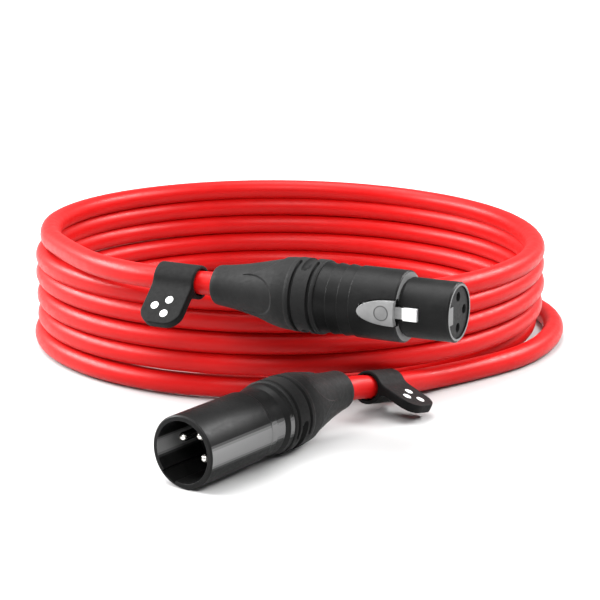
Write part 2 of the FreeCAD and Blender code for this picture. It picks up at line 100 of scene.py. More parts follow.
class Nodes:
    """Builds one procedural material, socket by socket."""

    def __init__(self, name: str) -> None:
        """Start an empty material.

        Args:
            name: Name of the new material.
        """
        self.material = bpy.data.materials.new(name)
        self.material.use_nodes = True
        self.tree = self.material.node_tree
        self.shader = self.tree.nodes["Principled BSDF"]
        self.place = self.add("ShaderNodeTexCoord").outputs["Object"]

    def add(self, kind: str, **values: object) -> bpy.types.Node:
        """Add a node and set its inputs or properties by name.

        Args:
            kind: Blender's node type.
            **values: Input values, with spaces written as underscores, or node properties.

        Returns:
            The new node.
        """
        node = self.tree.nodes.new(kind)
        for key, value in values.items():
            label = key.replace("_", " ")
            if label in node.inputs:
                node.inputs[label].default_value = value
            else:
                setattr(node, key, value)
        return node

    def link(self, source: Socket, target: Socket) -> None:
        """Join two sockets."""
        self.tree.links.new(source, target)

    def set(self, **values: object) -> None:
        """Set constants on the shader's own sockets."""
        for key, value in values.items():
            self.shader.inputs[key.replace("_", " ")].default_value = value

    def noise(self, scale: float, detail: float = 3.0, stretch: Point = (1, 1, 1)) -> Socket:
        """Add noise in object space.

        Args:
            scale: Cells per metre.
            detail: Octaves of the noise.
            stretch: Scale along each axis.

        Returns:
            The noise value from 0 to 1.
        """
        mapping = self.add("ShaderNodeMapping")
        mapping.inputs["Scale"].default_value = stretch
        self.link(self.place, mapping.inputs["Vector"])
        noise = self.add("ShaderNodeTexNoise", Scale=scale, Detail=detail, Roughness=0.55)
        self.link(mapping.outputs["Vector"], noise.inputs["Vector"])
        return noise.outputs["Fac"]

    def ramp(self, value: Socket, stops: Sequence[tuple[float, Sequence[float]]]) -> Socket:
        """Turn a value into a colour.

        Args:
            value: What runs from 0 to 1.
            stops: Place and colour of each stop.

        Returns:
            The colour.
        """
        ramp = self.add("ShaderNodeValToRGB")
        elements = ramp.color_ramp.elements
        while len(elements) < len(stops):
            elements.new(0.5)
        for element, (place, colour) in zip(elements, stops):
            element.position = place
            element.color = (*colour, 1.0)
        self.link(value, ramp.inputs["Fac"])
        return ramp.outputs["Color"]

    def spread(self, value: Socket, low: float, high: float) -> Socket:
        """Map a value from 0.3..0.7 to low..high."""
        node = self.add("ShaderNodeMapRange", From_Min=0.3, From_Max=0.7, To_Min=low, To_Max=high)
        self.link(value, node.inputs["Value"])
        return node.outputs["Result"]

    def step(self, value: Socket, start: float, end: float) -> Socket:
        """Return a mask that runs from 0 at one value to 1 at another."""
        node = self.add("ShaderNodeMapRange", From_Min=start, From_Max=end)
        self.link(value, node.inputs["Value"])
        return node.outputs["Result"]

    def colour(self, source: Socket) -> None:
        """Use a colour as the surface's own."""
        self.link(source, self.shader.inputs["Base Color"])

    def rough(self, noise: Socket, low: float, high: float) -> None:
        """Vary the roughness between two values by noise."""
        self.link(self.spread(noise, low, high), self.shader.inputs["Roughness"])

    def worn_edges(self, width: float, low: float, high: float) -> Socket:
        """Mask that is 1 on sharp edges and 0 on flat faces.

        Args:
            width: Width of the worn edge in metres.
            low: Difference of direction where the wear starts.
            high: Difference of direction where it is full.

        Returns:
            The mask.
        """
        rounded = self.add("ShaderNodeBevel", samples=6)
        rounded.inputs["Radius"].default_value = width
        flat = self.add("ShaderNodeNewGeometry")
        dot = self.add("ShaderNodeVectorMath", operation="DOT_PRODUCT")
        self.link(rounded.outputs["Normal"], dot.inputs[0])
        self.link(flat.outputs["Normal"], dot.inputs[1])
        return self.step(dot.outputs["Value"], 1.0 - low, 1.0 - high)

    def mix(self, mask: Socket, first: Socket, second: Sequence[float]) -> Socket:
        """Lay a second colour over the first by a mask."""
        node = self.add("ShaderNodeMix", data_type="RGBA")
        self.link(mask, node.inputs["Factor"])
        self.link(first, node.inputs[6])
        node.inputs[7].default_value = (*second, 1.0)
        return node.outputs[2]

    def relief(self, height: Socket, strength: float, distance: float, edge: float = 0.0) -> None:
        """Bump the surface, with its sharp edges rounded.

        Args:
            height: Height from 0 to 1.
            strength: Strength of the bump.
            distance: Height of the bump in metres.
            edge: Radius of rounded edges in metres, none if 0.
        """
        bump = self.add("ShaderNodeBump")
        bump.inputs["Strength"].default_value = strength
        bump.inputs["Distance"].default_value = distance
        self.link(height, bump.inputs["Height"])
        if edge:
            rounded = self.add("ShaderNodeBevel", samples=6)
            rounded.inputs["Radius"].default_value = edge
            self.link(rounded.outputs["Normal"], bump.inputs["Normal"])
        self.link(bump.outputs["Normal"], self.shader.inputs["Normal"])


@dataclass(frozen=True)
class JacketFinish:
    """Matt red flexible jacket: even colour, a slight bloom and a very fine skin."""

    name: str = "red_jacket"
    base: Point = (0.43, 0.002, 0.002)
    pale: Point = (0.48, 0.003, 0.003)
    roughness: float = 0.40

    def build(self) -> bpy.types.Material:
        """Return the finish as a material."""
        nodes = Nodes(self.name)
        clouds = nodes.noise(45.0, 4.0)
        nodes.colour(nodes.ramp(clouds, ((0.3, self.base), (0.7, self.pale))))
        nodes.rough(nodes.noise(400.0, 3.0), self.roughness - 0.05, self.roughness + 0.06)
        nodes.relief(nodes.noise(2600.0, 2.0), 0.12, 0.00006)
        nodes.set(Sheen_Weight=0.01, Sheen_Roughness=0.4, Specular_IOR_Level=0.18)
        return nodes.material


@dataclass(frozen=True)
class RubberFinish:
    """Matt moulded rubber with a fine spark-eroded grain."""

    name: str
    dark: Point
    light: Point
    roughness: float = 0.62
    grain: float = 2300.0
    depth: float = 0.00008
    sheen: float = 0.02
    specular: float = 0.15

    def build(self) -> bpy.types.Material:
        """Return the finish as a material."""
        nodes = Nodes(self.name)
        colour = nodes.ramp(nodes.noise(180.0, 5.0), ((0.3, self.dark), (0.72, self.light)))
        nodes.colour(colour)
        nodes.rough(nodes.noise(900.0, 3.0), self.roughness - 0.07, self.roughness + 0.08)
        nodes.relief(nodes.noise(self.grain, 2.0), 0.35, self.depth)
        nodes.set(Sheen_Weight=self.sheen, Sheen_Roughness=0.5, Specular_IOR_Level=self.specular)
        return nodes.material


@dataclass(frozen=True)
class MetalFinish:
    """Metal, plated or painted, with rounded edges that show some wear; faces that look along the
    female axis can take a painted highlight.
    """

    name: str
    base: Point
    worn: Point
    metallic: float
    roughness: float
    edge: float = 0.0002
    wear: float = 0.5
    brushed: Point = (1, 1, 1)
    specular: float = 0.5
    grain: float = 1400.0
    # lighter colour for faces that look along the female axis: a painted highlight
    face_highlight: Point | None = None

    def face_highlight_mask(self, nodes: Nodes) -> Socket:
        """Mask that is 1 on the female shell's turned faces, which look along its axis, where a
        highlight is painted.
        """
        geometry = nodes.add("ShaderNodeNewGeometry")
        dot = nodes.add("ShaderNodeVectorMath", operation="DOT_PRODUCT")
        dot.inputs[1].default_value = tuple(PLACES[Side.FEMALE].matrix(0.0).col[2].to_3d())
        nodes.link(geometry.outputs["True Normal"], dot.inputs[0])
        return nodes.step(dot.outputs["Value"], 0.93, 0.97)

    def build(self) -> bpy.types.Material:
        """Return the finish as a material."""
        nodes = Nodes(self.name)
        lighter = tuple(min(1.0, c * 1.25 + 0.004) for c in self.base)
        clouds = nodes.noise(160.0, 4.0, self.brushed)
        colour = nodes.ramp(clouds, ((0.3, self.base), (0.7, lighter)))
        if self.wear:
            edges = nodes.worn_edges(self.edge, 0.04, 0.30)
            patchy = nodes.add("ShaderNodeMath", operation="MULTIPLY")
            nodes.link(edges, patchy.inputs[0])
            nodes.link(nodes.spread(nodes.noise(700.0, 3.0), 0.15, self.wear), patchy.inputs[1])
            colour = nodes.mix(patchy.outputs[0], colour, self.worn)
        # painted highlight: faces that look along the female axis are made lighter, as if lit from that
        # side
        if self.face_highlight:
            colour = nodes.mix(self.face_highlight_mask(nodes), colour, self.face_highlight)
        nodes.colour(colour)
        nodes.rough(nodes.noise(self.grain, 3.0, self.brushed),
                    self.roughness - 0.05, self.roughness + 0.07)
        nodes.relief(nodes.noise(self.grain * 1.6, 2.0, self.brushed), 0.12, 0.00003, self.edge)
        nodes.set(Metallic=self.metallic, Specular_IOR_Level=self.specular)
        return nodes.material


@dataclass(frozen=True)
class LatchFinish:
    """Cast latch: a satin tab, and a hook at its front end painted near white, with the same roughness
    as the tab.
    """

    name: str = "latch_cast"
    satin: Point = grey(0.20)
    light: Point = grey(0.26)
    # near-white colour painted on the hook's front end
    hook_white: Point = grey(0.86)
    roughness: float = 0.42
    hook_station: float = 12.7
    hook_fade: float = 0.15
    dimple: Point = (10.0, 0.0, -17.7)
    dimple_radius: float = 1.9

    def dimple_shade(self, nodes: Nodes) -> Socket:
        """Return a grey that darkens in the thin ring of the thumb dimple."""
        place = PLACES[Side.FEMALE]
        centre = place.matrix(place.key_roll) @ (Vector(self.dimple) * MM)
        away = nodes.add("ShaderNodeVectorMath", operation="DISTANCE")
        away.inputs[1].default_value = tuple(centre)
        nodes.link(nodes.place, away.inputs[0])
        share = nodes.step(away.outputs["Value"], 0.0, 2 * self.dimple_radius * MM)
        full, dark, dish = grey(1.0), grey(0.30), grey(0.82)
        return nodes.ramp(share, (
            (0.0, dish), (0.44, dish), (0.48, dark), (0.52, dark), (0.56, full)))

    def build(self) -> bpy.types.Material:
        """Return the finish as a material."""
        nodes = Nodes(self.name)
        place = PLACES[Side.FEMALE].matrix(0.0)
        face, axis = place.to_translation(), place.col[2].to_3d()
        along = nodes.add("ShaderNodeVectorMath", operation="DOT_PRODUCT")
        nodes.link(nodes.place, along.inputs[0])
        along.inputs[1].default_value = tuple(axis)
        hook = nodes.step(along.outputs["Value"],
                          face.dot(axis) - (self.hook_station + self.hook_fade) * MM,
                          face.dot(axis) - (self.hook_station - self.hook_fade) * MM)
        colour = nodes.ramp(nodes.noise(260.0, 4.0), ((0.3, self.satin), (0.7, self.light)))
        shaded = nodes.add("ShaderNodeMix", data_type="RGBA", blend_type="MULTIPLY")
        shaded.inputs["Factor"].default_value = 1.0
        nodes.link(colour, shaded.inputs[6])
        nodes.link(self.dimple_shade(nodes), shaded.inputs[7])
        # the hook's front end is painted near white; its roughness stays that of the tab
        nodes.colour(nodes.mix(hook, shaded.outputs[2], self.hook_white))
        nodes.rough(nodes.noise(1500.0, 3.0), self.roughness - 0.05, self.roughness + 0.07)
        nodes.relief(nodes.noise(2400.0, 2.0), 0.12, 0.00003, 0.0002)
        nodes.set(Metallic=0.45, Specular_IOR_Level=0.5)
        return nodes.material


@dataclass(frozen=True)
class PlasticFinish:
    """Moulded plastic, matt, with rounded edges."""

    name: str
    base: Point
    light: Point
    roughness: float = 0.5
    edge: float = 0.00015
    specular: float = 0.4

    def build(self) -> bpy.types.Material:
        """Return the finish as a material."""
        nodes = Nodes(self.name)
        nodes.colour(nodes.ramp(nodes.noise(260.0, 4.0), ((0.3, self.base), (0.7, self.light))))
        nodes.rough(nodes.noise(1200.0, 3.0), self.roughness - 0.06, self.roughness + 0.06)
        nodes.relief(nodes.noise(2600.0, 2.0), 0.2, 0.00004, self.edge)
        nodes.set(Specular_IOR_Level=self.specular)
        return nodes.material


@dataclass(frozen=True)
class InkFinish:
    """White printed dots, slightly uneven."""

    name: str = "white_print"
    base: Point = (0.86, 0.86, 0.85)
    thin: Point = grey(0.74)

    def build(self) -> bpy.types.Material:
        """Return the finish as a material."""
        nodes = Nodes(self.name)
        nodes.colour(nodes.ramp(nodes.noise(900.0, 3.0), ((0.25, self.thin), (0.5, self.base))))
        nodes.rough(nodes.noise(1500.0), 0.5, 0.62)
        nodes.relief(nodes.noise(2300.0, 2.0), 0.2, 0.00004)
        return nodes.material


@dataclass(frozen=True)
class TableFinish:
    """Plain white table top."""

    name: str = "table_white"
    base: Point = grey(0.46)

    def build(self) -> bpy.types.Material:
        """Return the finish as a material."""
        nodes = Nodes(self.name)
        nodes.colour(nodes.ramp(nodes.noise(3.0, 2.0), ((0.2, self.base), (0.8, self.base))))
        nodes.set(Roughness=0.85, Specular_IOR_Level=0.15)
        return nodes.material


@dataclass
class Paints:
    """Every finish of the model, built once."""

    jacket: bpy.types.Material = field(default_factory=lambda: JacketFinish().build())
    boot: bpy.types.Material = field(default_factory=lambda: RubberFinish(
        "boot_rubber_grain", grey(0.004), grey(0.007)).build())
    tag: bpy.types.Material = field(default_factory=lambda: RubberFinish(
        "tag_rubber_grain", grey(0.002), grey(0.004), 0.66, 1700.0, 0.00012,
        specular=0.12).build())
    # black shell, with a painted highlight on faces that look along the female axis
    shell: bpy.types.Material = field(default_factory=lambda: MetalFinish(
        "black_shell", grey(0.002), grey(0.06), 0.0, 0.44, 0.00025, 0.30,
        specular=0.13, face_highlight=grey(0.15)).build())
    insert: bpy.types.Material = field(default_factory=lambda: PlasticFinish(
        "insert_grey", grey(0.007), grey(0.010), 0.55, 0.00015, 0.15).build())
    dark_insert: bpy.types.Material = field(default_factory=lambda: PlasticFinish(
        "insert_black", grey(0.005), grey(0.008)).build())
    contact: bpy.types.Material = field(default_factory=lambda: MetalFinish(
        "contact_silver_plate", (0.80, 0.78, 0.74), (0.95, 0.95, 0.93), 1.0, 0.18, 0.0001, 0.3).build())
    latch: bpy.types.Material = field(default_factory=lambda: LatchFinish().build())
    spring: bpy.types.Material = field(default_factory=lambda: MetalFinish(
        "spring_steel", (0.45, 0.45, 0.46), grey(0.7), 1.0, 0.3, 0.0001, 0.3).build())
    chuck: bpy.types.Material = field(default_factory=lambda: PlasticFinish(
        "chuck_nylon", (0.58, 0.57, 0.53), (0.66, 0.65, 0.61)).build())
    bushing: bpy.types.Material = field(default_factory=lambda: PlasticFinish(
        "bushing_nylon", grey(0.018), grey(0.028)).build())
    core: bpy.types.Material = field(default_factory=lambda: PlasticFinish(
        "core_pvc", (0.52, 0.52, 0.54), (0.62, 0.62, 0.64), 0.35).build())
    ink: bpy.types.Material = field(default_factory=lambda: InkFinish().build())
    table: bpy.types.Material = field(default_factory=lambda: TableFinish().build())


def paint(piece: bpy.types.Object, material: bpy.types.Material) -> None:
    """Give a piece one material all over."""
    piece.data.materials.clear()
    piece.data.materials.append(material)


# ------------------------------------------------------------------ modelling


class Bench:
    """Shared ways of shaping a piece."""

    @staticmethod
    def clear() -> None:
        """Deselect everything."""
        if bpy.context.object and bpy.context.object.mode != "OBJECT":
            bpy.ops.object.mode_set(mode="OBJECT")
        bpy.ops.object.select_all(action="DESELECT")

    @staticmethod
    def pick(piece: bpy.types.Object) -> None:
        """Make one piece the only selected and the active one."""
        Bench.clear()
        piece.select_set(True)
        bpy.context.view_layer.objects.active = piece

    @staticmethod
    def join(pieces: Sequence[bpy.types.Object], name: str) -> bpy.types.Object:
        """Join pieces into the first of them and name it."""
        Bench.clear()
        for piece in pieces:
            piece.select_set(True)
        bpy.context.view_layer.objects.active = pieces[0]
        bpy.ops.object.join()
        pieces[0].name = name
        pieces[0].data.name = name
        return pieces[0]

    @staticmethod
    def apply(piece: bpy.types.Object, kind: str, **values: object) -> None:
        """Add a modifier with these settings and apply it.

        Args:
            piece: The piece to change.
            kind: Blender's modifier type.
            **values: The modifier's settings.
        """
        Bench.pick(piece)
        modifier = piece.modifiers.new(kind.lower(), kind)
        for key, value in values.items():
            setattr(modifier, key, value)
        bpy.ops.object.modifier_apply(modifier=modifier.name)

    @staticmethod
    def lathe(name: str, outline: Sequence[tuple[float, float]], steps: int) -> bpy.types.Object:
        """Spin a closed outline round Z.

        Args:
            name: Name of the new piece.
            outline: Radius and station of each corner, in millimetres, all round.
            steps: Divisions of the full turn.

        Returns:
            The closed solid of revolution, stations running down Z from zero.
        """
        Bench.clear()
        bpy.ops.mesh.primitive_circle_add(vertices=len(outline), radius=0.01,
                                          fill_type="NOTHING")
        piece = bpy.context.object
        piece.name = name
        piece.data.name = name
        for vertex, (radius, station) in zip(piece.data.vertices, outline):
            vertex.co = Vector((radius, 0.0, -station)) * MM
        bpy.ops.object.mode_set(mode="EDIT")
        bpy.ops.mesh.select_all(action="SELECT")
        bpy.ops.mesh.spin(steps=steps, angle=2 * math.pi, center=(0, 0, 0), axis=(0, 0, 1))
        bpy.ops.mesh.select_all(action="SELECT")
        bpy.ops.mesh.remove_doubles(threshold=0.000001)
        bpy.ops.mesh.normals_make_consistent(inside=False)
        bpy.ops.object.mode_set(mode="OBJECT")
        return piece

    @staticmethod
    def finish(piece: bpy.types.Object, place: Matrix, material: bpy.types.Material, body: str,
               material_slot: str) -> bpy.types.Object:
        """Move a piece's mesh to its place, smooth and paint it, and let it ride.

        Args:
            piece: The piece, modelled in its own frame.
            place: From its own frame to the model's.
            material: Its finish.
            body: The CAD body it moves with.
            material_slot: The record's slot for its finish; not used.

        Returns:
            The same piece.
        """
        piece.data.transform(place)
        piece.data.update()
        Bench.pick(piece)
        bpy.ops.object.shade_smooth_by_angle(angle=math.radians(38))
        paint(piece, material)
        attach(piece, body)
        LOG.info("%s: %d faces", piece.name, len(piece.data.polygons))
        return piece


def frame_matrix(origin: Vector, x: Vector, z: Vector) -> Matrix:
    """Return the matrix of a frame from its origin and two of its axes."""
    y = z.cross(x)
    return Matrix((
        (x.x, y.x, z.x, origin.x),
        (x.y, y.y, z.y, origin.y),
        (x.z, y.z, z.z, origin.z),
        (0, 0, 0, 1)))


@dataclass(frozen=True)
class PlugPlace:
    """Where a connector lies: its face from the middle of the coil, heading, pitch and roll."""

    face: Point
    heading: float
    pitch: float
    key_roll: float
    boot_roll: float
    rear_forward: float

    def boot_matrix(self) -> Matrix:
        """Return the boot's frame, which sits a little further forward on the shorter plug."""
        return self.matrix(self.boot_roll) @ Matrix.Translation((0, 0, self.rear_forward * MM))

    def matrix(self, roll: float) -> Matrix:
        """Return the connector's frame, Z out of its face and X rolled from straight up."""
        heading, pitch = math.radians(self.heading), math.radians(self.pitch)
        z = Vector((math.sin(heading) * math.cos(pitch),
                    -math.cos(heading) * math.cos(pitch), -math.sin(pitch)))
        side = Vector((0, 0, 1)).cross(z).normalized()
        up = z.cross(side)
        turn = math.radians(roll)
        return frame_matrix(at_table(self.face), up * math.cos(turn) + side * math.sin(turn), z)


PLACES = {
    Side.FEMALE: PlugPlace((43.5, -124.2, 38.2), 63.6, 0.0, -90.0, 0.0, 0.0),
    Side.MALE: PlugPlace((-26.7, -152.6, 9.63), -36.7, 0.6, -148.0, -54.0, 3.4),
}


# ------------------------------------------------------------------ cable


@dataclass
class Cable:
    """The whole cord: female lead, wound turns and male lead as one smooth line."""

    diameter: float = 6.5
    female_lead: tuple[Point, ...] = (
        (-16.06, -94.63, 38.2), (-29.9, -87.7, 38.2), (-43.6, -79.4, 38.1), (-54.6, -66.6, 37.6),
        (-62.4, -50.2, 36.9), (-68.8, -33.5, 36.1), (-74.2, -17.0, 35.3))
    male_lead: tuple[Point, ...] = (
        (7.12, -107.22, 10.22), (14.83, -96.88, 10.36), (25.0, -84.5, 6.9), (37.6, -66.6, 3.8),
        (54.0, -53.2, 3.3), (69.0, -39.8, 3.3), (78.4, -24.0, 3.3), (84.0, -5.5, 3.3),
        (84.2, 12.5, 3.3), (79.2, 30.5, 3.3), (69.0, 46.5, 3.3), (55.5, 58.5, 3.3))
    points_per_turn: int = 16
    start_deg: float = 77.1
    end_deg: float = 2023.5
    bulge: float = 0.981
    # Angle along the winding, radius and height: an even helix with the places where a turn strays
    lay: tuple[Point, ...] = (
        (77.0, 75.5, 34.9), (180.0, 76.7, 33.0), (277.0, 76.9, 30.3), (360.0, 76.8, 29.9),
        (443.0, 76.7, 28.3), (540.0, 76.8, 27.1), (637.0, 76.8, 25.5), (720.0, 76.8, 23.7),
        (803.0, 76.8, 22.9), (900.0, 77.0, 20.6), (997.0, 77.0, 19.4), (1080.0, 76.8, 17.4),
        (1163.0, 76.6, 15.9), (1260.0, 76.6, 14.3), (1357.0, 76.5, 12.9), (1440.0, 76.5, 11.2),
        (1523.0, 76.5, 9.6), (1620.0, 76.5, 8.0), (1690.0, 76.2, 6.7), (1717.0, 75.2, 6.2),
        (1740.0, 71.6, 5.0), (1765.0, 69.5, 4.3), (1790.0, 71.4, 4.2), (1815.0, 76.0, 3.8),
        (1883.0, 77.6, 3.3), (1980.0, 79.3, 3.3), (2024.0, 80.6, 3.3))

    def lay_at(self, degrees: float) -> tuple[float, float]:
        """Return the radius and height of the winding at an angle along it."""
        radius, height = between(self.lay, degrees)
        return radius, height

    def winding(self) -> list[Point]:
        """Return the control points of the wound turns, from the first to the last."""
        step = 360.0 / self.points_per_turn
        count = round((self.end_deg - self.start_deg) / step)
        points = []
        for index in range(1, count):
            degrees = self.start_deg + (self.end_deg - self.start_deg) * index / count
            radius, height = self.lay_at(degrees)
            angle = math.radians(degrees)
            reach = radius / self.bulge
            points.append((-reach * math.sin(angle), -reach * math.cos(angle), height))
        return points

    def build(self, paints: Paints) -> bpy.types.Object:
        """Make the cord as one smooth spline.

        Args:
            paints: The finishes.

        Returns:
            The curve object.
        """
        route = list(self.female_lead) + self.winding() + list(reversed(self.male_lead))
        curve = bpy.data.curves.new("cable_cord", "CURVE")
        curve.dimensions = "3D"
        spline = curve.splines.new("NURBS")
        spline.points.add(len(route) - 1)
        for control, point in zip(spline.points, route):
            control.co = (*at_table(point), 1.0)
        spline.order_u = 3
        spline.use_endpoint_u = True
        curve.resolution_u = 8
        curve.bevel_depth = self.diameter / 2 * MM
        curve.bevel_resolution = 8
        curve.use_fill_caps = True
        piece = bpy.data.objects.new("cable_cord", curve)
        bpy.context.collection.objects.link(piece)
        paint(piece, paints.jacket)
        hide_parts("cable_coil", "female_lead", "male_lead")
        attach(piece, STATIC_BODY)
        return piece

    def length(self, piece: bpy.types.Object) -> float:
        """Measure the cord's middle line in metres."""
        depth, piece.data.bevel_depth = piece.data.bevel_depth, 0.0
        bpy.context.view_layer.update()
        graph = bpy.context.evaluated_depsgraph_get()
        line = bpy.data.meshes.new_from_object(piece.evaluated_get(graph))
        spots = [vertex.co.copy() for vertex in line.vertices]
        total = sum((spots[edge.vertices[0]] - spots[edge.vertices[1]]).length
                    for edge in line.edges)
        bpy.data.meshes.remove(line)
        piece.data.bevel_depth = depth
        bpy.context.view_layer.update()
        return total

    def declare(self, piece: bpy.types.Object) -> None:
        """Measure the cord and log its length.

        Args:
            piece: The curve object.
        """
        measured = self.length(piece)
        LOG.info("cord length %.3f m", measured)


# ------------------------------------------------------------------ boots


@dataclass
class Boot:
    """Rubber boot: a grooved band, then a taper with four shallow thumb recesses."""

    side: Side
    front: float = 37.4
    radius: float = 10.0
    taper: tuple[tuple[float, float], ...] = (
        (45.75, 10.0), (45.9, 9.84), (48.0, 9.74), (50.0, 9.52), (52.5, 9.03), (55.0, 8.45),
        (57.5, 7.87), (60.0, 7.32), (62.5, 6.84), (65.0, 6.44), (67.0, 6.15), (69.0, 5.95))
    taper_end: float = 69.1
    # Radius and station of the rounded front, the rear rim and the bore, in the outline's order
    lip: tuple[tuple[float, float], ...] = ((8.5, 0.0), (9.4, 0.0), (9.75, 0.08), (9.93, 0.25))
    rim: tuple[tuple[float, float], ...] = (
        (5.46, 69.5), (5.3, 70.0), (5.0, 70.4), (4.7, 70.57), (4.4, 70.6))
    bore: tuple[tuple[float, float], ...] = (
        (3.75, 70.6), (3.7, 70.2), (3.7, 54.0), (8.45, 47.3), (8.45, 40.0))
    steps: int = 288
    groove_stations: tuple[float, float] = (39.1, 44.2)
    groove_width: float = 0.62
    groove_depth: float = 0.75
    groove_gap_deg: float = 11.0
    slot_station: float = 41.65
    slot_width: float = 1.9
    slot_depth: float = 1.42
    slot_half_deg: float = 36.0
    recess_apex: float = 49.6
    recess_full: float = 60.3
    recess_half_deg: float = 46.0
    recess_depth: float = 0.42
    recess_reach: float = 6.5
    recess_fall: float = 2.0
    recess_wall: float = 0.28
    fine_step: float = 0.1
    middle_step: float = 0.22
    coarse_step: float = 0.5

    def taper_radius(self, station: float) -> float:
        """Return the outer radius between the band and the rear rim."""
        return between(self.taper, station)[0]

    def stations(self) -> list[float]:
        """Return the stations of the outer rings, closer where something is cut in."""
        places = []
        station = self.front + 0.5
        while station < self.taper_end:
            places.append(station)
            near_groove = any(abs(station - s) < 0.55 for s in self.groove_stations)
            near_slot = abs(abs(station - self.slot_station) - self.slot_width / 2) < 0.35
            in_recess = self.recess_apex - 0.8 < station < self.recess_full + 0.6
            near_taper = abs(station - self.taper[0][0]) < 0.4
            if near_groove or near_slot:
                station += self.fine_step
            else:
                station += self.middle_step if in_recess or near_taper else self.coarse_step
        return places

    def outline(self) -> list[tuple[float, float]]:
        """Return the closed outline, radius and station."""
        front = [(radius, self.front + station) for radius, station in self.lip]
        outer = [(self.taper_radius(station), station) for station in self.stations()]
        return [*front, *outer, *self.rim, *self.bore]

    def cut_at(self, angle: float, station: float) -> float:
        """Return how deep the surface is cut at an angle (radians) and station."""
        degrees = math.degrees(angle) % 360.0
        depth = 0.0
        if station < self.taper[0][0]:
            along = math.radians(self.off_nearest(degrees, (0.0, 180.0))) * self.radius
            slot_run = math.radians(self.slot_half_deg) * self.radius
            depth = self.capsule(along - (slot_run - self.slot_width / 2), station - self.slot_station,
                                 self.slot_width) * self.slot_depth
            gap = math.radians(self.groove_gap_deg) * self.radius + self.groove_width / 2
            for groove in self.groove_stations:
                cut = self.capsule(gap - along, station - groove, self.groove_width)
                depth = max(depth, cut * self.groove_depth)
            return depth
        if station > self.recess_apex - 0.3:
            off_middle = self.off_nearest(degrees, (0.0, 90.0, 180.0, 270.0))
            length = self.recess_full - self.recess_apex
            back = max(0.0, (self.recess_full - station) / length)
            reach = (off_middle / self.recess_half_deg) ** 2 + back ** 2
            inside = (1.0 - math.sqrt(reach)) * self.recess_reach
            behind = (station - self.recess_full) * self.recess_fall
            depth = self.ease(max(inside, behind) / self.recess_wall) * self.recess_depth
        return depth

    @staticmethod
    def off_nearest(degrees: float, middles: Sequence[float]) -> float:
        """Return how far an angle is from the nearest of some others, in degrees."""
        return min(abs((degrees - middle + 180.0) % 360.0 - 180.0) for middle in middles)

    @staticmethod
    def ease(value: float) -> float:
        """Return a smooth step from 0 to 1."""
        value = min(1.0, max(0.0, value))
        return value * value * (3.0 - 2.0 * value)

    @staticmethod
    def capsule(beyond: float, across: float, width: float) -> float:
        """Return 1 inside a round-ended slot and 0 outside it, with a short wall between."""
        distance = math.hypot(max(0.0, beyond), across) - width / 2
        return Boot.ease(-distance / CUT_WALL + 0.5)

    def build(self, paints: Paints) -> bpy.types.Object:
        """Make the boot and put it in place.

        Args:
            paints: The finishes.

        Returns:
            The boot.
        """
        name = self.side.value
        piece = Bench.lathe(f"{name}_boot_rubber", self.outline(), self.steps)
        for vertex in piece.data.vertices:
            station = -vertex.co.z / MM
            reach = math.hypot(vertex.co.x, vertex.co.y) / MM
            if reach < self.taper_radius(station) - 0.02 or not self.front + 0.4 < station < 69.2:
                continue
            cut = self.cut_at(math.atan2(vertex.co.y, vertex.co.x), station)
            if cut > 0.0:
                scale = (reach - cut) / reach
                vertex.co.x *= scale
                vertex.co.y *= scale
        place = PLACES[self.side].boot_matrix()
        Bench.finish(piece, place, paints.boot, f"{name}_boot_body", "boot_rubber")
        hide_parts(f"{name}_boot")
        return piece


# ------------------------------------------------------------------ tags


